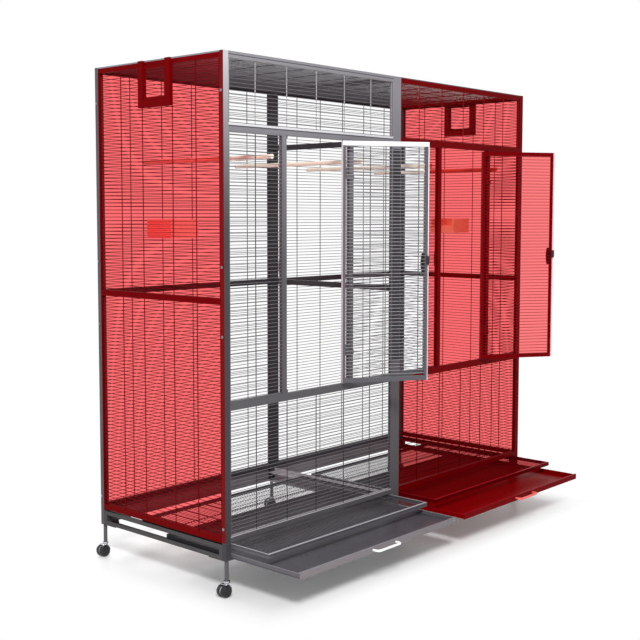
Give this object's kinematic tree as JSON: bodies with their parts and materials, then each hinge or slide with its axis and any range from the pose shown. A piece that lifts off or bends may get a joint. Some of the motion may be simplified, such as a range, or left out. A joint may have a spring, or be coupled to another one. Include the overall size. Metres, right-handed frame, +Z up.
{
  "type": "canary breeding cage",
  "caption": "Tall wire-mesh breeding cage on casters with side-hung doors, drawn trays and grates, nest-box hatches, perches and shelves.",
  "frame": {"origin": "on the floor, under the middle of the whole cage's box with its doors open and trays drawn as pictured", "axes": "+X along the front to the right bay, +Y from the door side to the rear, +Z up"},
  "size_m": [1.728, 0.953, 1.676],
  "materials": {
    "grey_frame": "satin powder coat, mid grey",
    "red_frame": "satin powder coat, dark red",
    "red_tint": "clear tinted sheet",
    "pale_door": "satin powder coat, light grey",
    "tray_grey": "satin powder coat, mid grey",
    "tray_red": "satin powder coat, dark red",
    "handle_white": "gloss white",
    "handle_red": "gloss coral red",
    "plated_steel": "zinc plated",
    "lock_black": "satin black",
    "natural_wood": "sanded, unvarnished",
    "caster_chrome": "polished",
    "wheel_black": "gloss black"
  },
  "bodies": {
    "cage": {"front_left_post": "grey_frame", "front_mid_posts": "grey_frame", "front_right_post": "red_frame", "rear_posts": "grey_frame", "legs": "grey_frame", "left_fascia": "grey_frame", "right_fascia": "red_frame", "left_side_lights": "grey_frame", "right_side_lights": "red_frame", "left_lower_front": "grey_frame", "right_lower_front": "red_frame", "left_rear_upper": "grey_frame", "right_rear_upper": "grey_frame", "left_rear_lower": "grey_frame", "right_rear_lower": "grey_frame", "left_end_upper": "red_frame", "right_end_upper": "red_frame", "left_end_lower": "red_frame", "right_end_lower": "red_frame", "left_end_sheets": "red_tint", "right_end_sheets": "red_tint", "roofs": "grey_frame", "rear_aprons": "grey_frame", "centre_ties": "grey_frame", "left_runner": "grey_frame", "mid_runner": "grey_frame", "right_runner": "grey_frame", "hatch_guides": "red_frame", "hinge_brackets": "plated_steel", "lock_keepers": "lock_black", "perches": "natural_wood", "wooden_shelves": "natural_wood", "bolts": "plated_steel"},
    "left_door_leaf": {"left_door": "pale_door", "left_lock_case": "lock_black"},
    "left_lock": {"left_latch": "lock_black"},
    "left_tray_drawer": {"left_tray": "tray_grey", "left_handle": "handle_white"},
    "left_grate_drawer": {"left_grate": "tray_grey"},
    "left_hatch_slide": {"left_hatch": "red_frame"},
    "right_door_leaf": {"right_door": "red_frame", "right_lock_case": "lock_black", "right_door_sheet": "red_tint"},
    "right_lock": {"right_latch": "lock_black"},
    "right_tray_drawer": {"right_tray": "tray_red", "right_handle": "handle_red"},
    "right_grate_drawer": {"right_grate": "tray_red"},
    "right_hatch_slide": {"right_hatch": "red_frame"},
    "swivel_fl": {"caster_fl": "caster_chrome"},
    "roll_fl": {"wheel_fl": "wheel_black"},
    "swivel_fm": {"caster_fm": "caster_chrome"},
    "roll_fm": {"wheel_fm": "wheel_black"},
    "swivel_fr": {"caster_fr": "caster_chrome"},
    "roll_fr": {"wheel_fr": "wheel_black"},
    "swivel_rl": {"caster_rl": "caster_chrome"},
    "roll_rl": {"wheel_rl": "wheel_black"},
    "swivel_rm": {"caster_rm": "caster_chrome"},
    "roll_rm": {"wheel_rm": "wheel_black"},
    "swivel_rr": {"caster_rr": "caster_chrome"},
    "roll_rr": {"wheel_rr": "wheel_black"}
  },
  "joints": [
    {"name": "left_door_swing", "type": "hinge", "parent": "cage", "child": "left_door_leaf", "pos_m": [-0.27755, -0.1675, 0.606], "axis": [0, 0, 1], "range_deg": [-146.5, 30]},
    {"name": "left_latch_turn", "type": "hinge", "parent": "left_door_leaf", "child": "left_lock", "pos_m": [-0.04626, -0.32898, 1.019], "axis": [0.5519, 0.8339, 0], "range_deg": [0, 90]},
    {"name": "left_tray_draw", "type": "slide", "parent": "cage", "child": "left_tray_drawer", "axis": [0, 1, 0], "range_m": [-0.2, 0.29]},
    {"name": "left_grate_draw", "type": "slide", "parent": "cage", "child": "left_grate_drawer", "axis": [0, 1, 0], "range_m": [-0.3, 0.164]},
    {"name": "left_hatch_lift", "type": "slide", "parent": "cage", "child": "left_hatch_slide", "axis": [0, 0, 1], "range_m": [0, 0.1]},
    {"name": "right_door_swing", "type": "hinge", "parent": "cage", "child": "right_door_leaf", "pos_m": [0.57245, -0.1675, 0.606], "axis": [0, 0, 1], "range_deg": [-146.5, 30]},
    {"name": "right_latch_turn", "type": "hinge", "parent": "right_door_leaf", "child": "right_lock", "pos_m": [0.80374, -0.32898, 1.019], "axis": [0.5519, 0.8339, 0], "range_deg": [0, 90]},
    {"name": "right_tray_draw", "type": "slide", "parent": "cage", "child": "right_tray_drawer", "axis": [0, 1, 0], "range_m": [-0.2, 0.29]},
    {"name": "right_grate_draw", "type": "slide", "parent": "cage", "child": "right_grate_drawer", "axis": [0, 1, 0], "range_m": [-0.3, 0.164]},
    {"name": "right_hatch_lift", "type": "slide", "parent": "cage", "child": "right_hatch_slide", "axis": [0, 0, 1], "range_m": [0, 0.1]},
    {"name": "swivel_fl_turn", "type": "hinge", "parent": "cage", "child": "swivel_fl", "pos_m": [-0.83255, -0.1525, 0.05], "axis": [0, 0, 1], "continuous": true},
    {"name": "wheel_fl_roll", "type": "hinge", "parent": "swivel_fl", "child": "roll_fl", "pos_m": [-0.84355, -0.1525, 0.0205], "axis": [0, 1, 0], "continuous": true},
    {"name": "swivel_fm_turn", "type": "hinge", "parent": "cage", "child": "swivel_fm", "pos_m": [-0.0047, -0.1525, 0.05], "axis": [0, 0, 1], "continuous": true},
    {"name": "wheel_fm_roll", "type": "hinge", "parent": "swivel_fm", "child": "roll_fm", "pos_m": [-0.0157, -0.1525, 0.0205], "axis": [0, 1, 0], "continuous": true},
    {"name": "swivel_fr_turn", "type": "hinge", "parent": "cage", "child": "swivel_fr", "pos_m": [0.84545, -0.1525, 0.05], "axis": [0, 0, 1], "continuous": true},
    {"name": "wheel_fr_roll", "type": "hinge", "parent": "swivel_fr", "child": "roll_fr", "pos_m": [0.83445, -0.1525, 0.0205], "axis": [0, 1, 0], "continuous": true},
    {"name": "swivel_rl_turn", "type": "hinge", "parent": "cage", "child": "swivel_rl", "pos_m": [-0.83255, 0.4595, 0.05], "axis": [0, 0, 1], "continuous": true},
    {"name": "wheel_rl_roll", "type": "hinge", "parent": "swivel_rl", "child": "roll_rl", "pos_m": [-0.84355, 0.4595, 0.0205], "axis": [0, 1, 0], "continuous": true},
    {"name": "swivel_rm_turn", "type": "hinge", "parent": "cage", "child": "swivel_rm", "pos_m": [-0.0047, 0.4595, 0.05], "axis": [0, 0, 1], "continuous": true},
    {"name": "wheel_rm_roll", "type": "hinge", "parent": "swivel_rm", "child": "roll_rm", "pos_m": [-0.0157, 0.4595, 0.0205], "axis": [0, 1, 0], "continuous": true},
    {"name": "swivel_rr_turn", "type": "hinge", "parent": "cage", "child": "swivel_rr", "pos_m": [0.84545, 0.4595, 0.05], "axis": [0, 0, 1], "continuous": true},
    {"name": "wheel_rr_roll", "type": "hinge", "parent": "swivel_rr", "child": "roll_rr", "pos_m": [0.83445, 0.4595, 0.0205], "axis": [0, 1, 0], "continuous": true}
  ]
}
